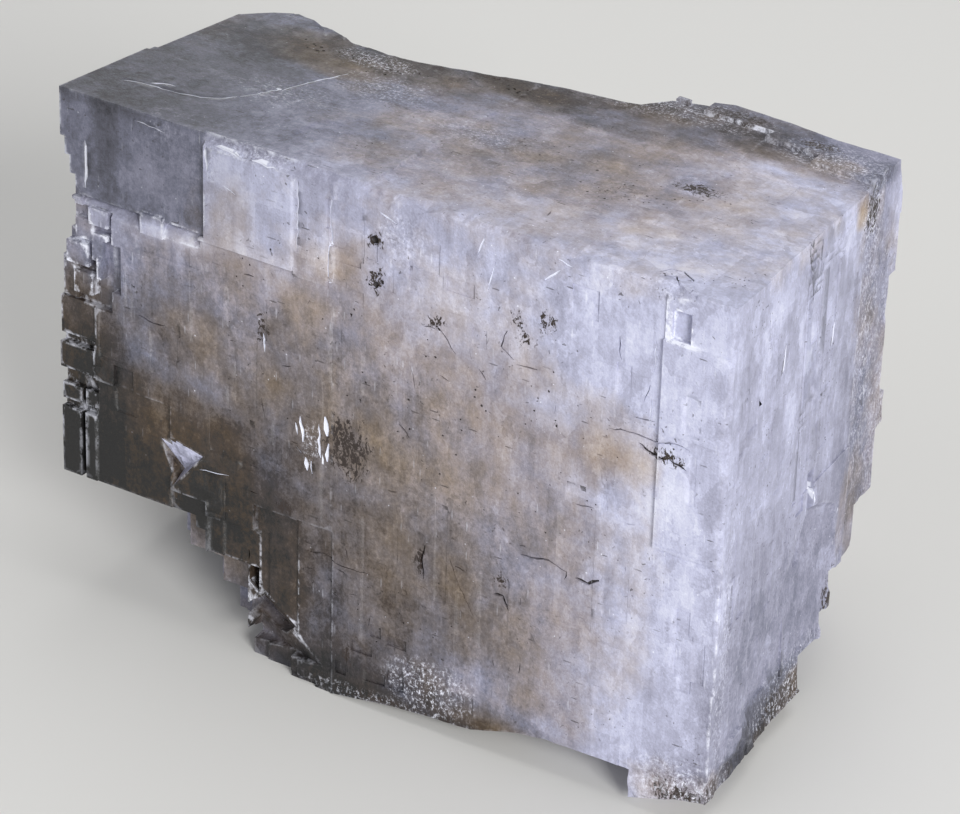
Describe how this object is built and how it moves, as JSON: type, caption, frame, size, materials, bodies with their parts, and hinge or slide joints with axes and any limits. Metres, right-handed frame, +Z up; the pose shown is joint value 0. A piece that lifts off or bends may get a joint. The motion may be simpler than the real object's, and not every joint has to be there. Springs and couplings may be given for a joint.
{
  "type": "magnesite cleavage crystal",
  "caption": "Cleavage block of magnesite, cloudy lavender white with brown iron stains, stepped and broken along its back and at its lower left corner.",
  "frame": {"origin": "under the middle of the block's bounding box, on the flat face that it rests on", "axes": "+X along the long top front edge to the right, +Y from the long front face to the broken back, +Z up, square to the level top cleavage face"},
  "size_m": [0.0996, 0.0638, 0.0567],
  "materials": {
    "magnesite": "translucent cloudy mineral, satin cleavage faces with glassy steps"
  },
  "bodies": {
    "root": {"magnesite_crystal": "magnesite"}
  },
  "joints": []
}
